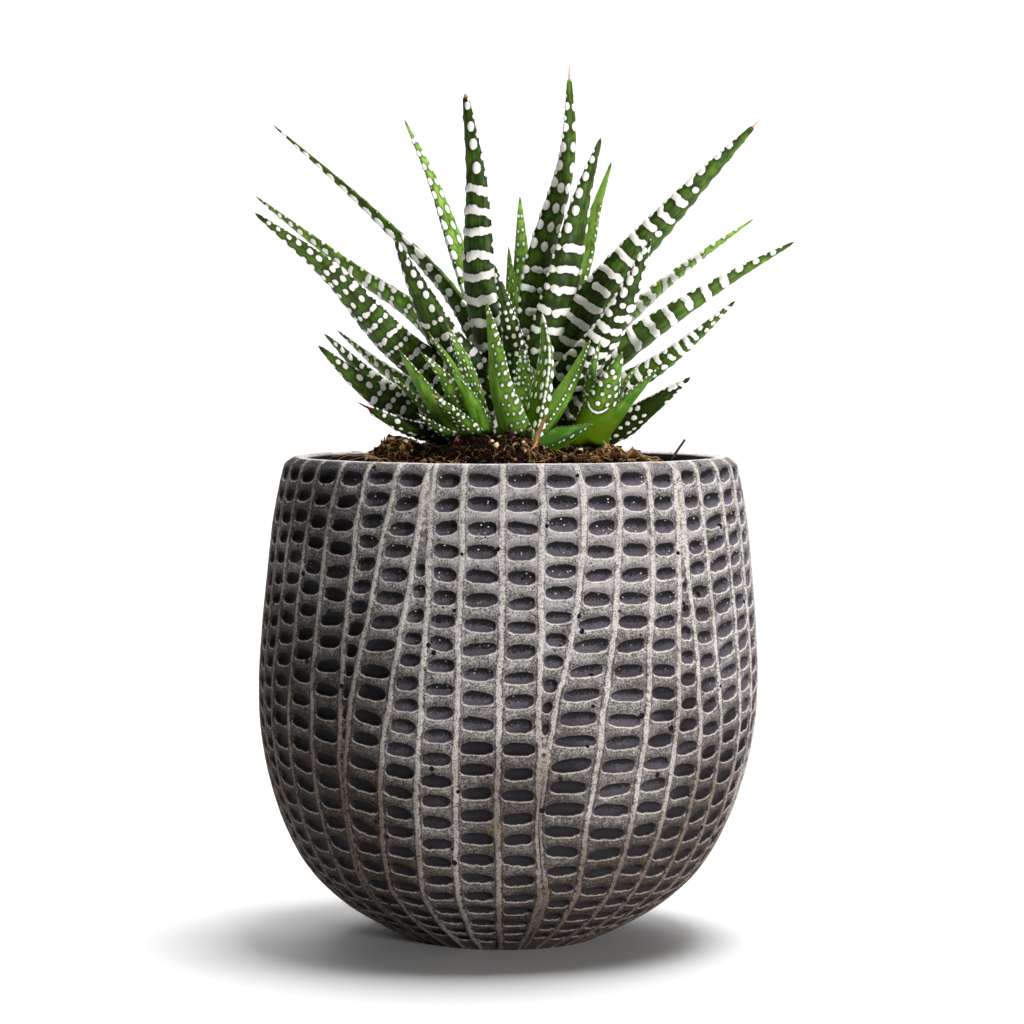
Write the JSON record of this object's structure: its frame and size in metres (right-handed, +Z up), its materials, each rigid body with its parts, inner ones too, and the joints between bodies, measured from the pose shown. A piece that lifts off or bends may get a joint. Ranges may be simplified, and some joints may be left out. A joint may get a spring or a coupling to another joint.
{
  "type": "potted haworthia",
  "caption": "Small white-banded succulent rosette with offsets, growing in peat in a round cement pot whose wall has ribs and rows of pressed dimples.",
  "frame": {"origin": "centre of the flat foot under the pot", "axes": "+Z up; -Y is the pot's front, where the offsets grow; +X to the right seen from the front"},
  "size_m": [0.1429, 0.1304, 0.2272],
  "materials": {
    "cement": "matt fired cement or stoneware, charcoal with pale worn ribs and near-black dimples",
    "peat": "fibrous brown peat with lumps and pale grains",
    "stem": "fleshy green stem",
    "leaf": "satin dark green skin with raised white bands and dots",
    "offset_leaf": "satin bright green skin, olive at the base, with small raised white dots",
    "dry_leaf": "dry tan leaf skin",
    "twig": "dark dry twig"
  },
  "bodies": {
    "root": {"pot": "cement", "soil": "peat", "main_stem": "stem", "leaf_left_tall": "leaf", "leaf_left_rear": "leaf", "leaf_left_front": "leaf", "leaf_left_short": "leaf", "leaf_rear_left": "leaf", "leaf_front_tall": "leaf", "leaf_front_young": "leaf", "leaf_heart": "leaf", "leaf_heart_small": "leaf", "leaf_tallest": "leaf", "leaf_front_broad": "leaf", "leaf_rear_right": "leaf", "leaf_right_tall": "leaf", "leaf_right_short": "leaf", "leaf_right_rear": "leaf", "leaf_right_long": "leaf", "leaf_right_low": "leaf", "leaf_right_ground": "leaf", "leaf_left_ground": "leaf", "leaf_left_ground_rear": "leaf", "leaf_left_ground_front": "leaf", "leaf_left_lowest": "leaf", "leaf_back_left": "leaf", "leaf_back_right": "leaf", "leaf_back_low_right": "leaf", "leaf_back_low_left": "leaf", "leaf_back_low": "leaf", "offset_left": "offset_leaf", "offset_middle": "offset_leaf", "offset_right": "offset_leaf", "dry_leaf_base": "dry_leaf", "twig": "twig"}
  },
  "joints": []
}
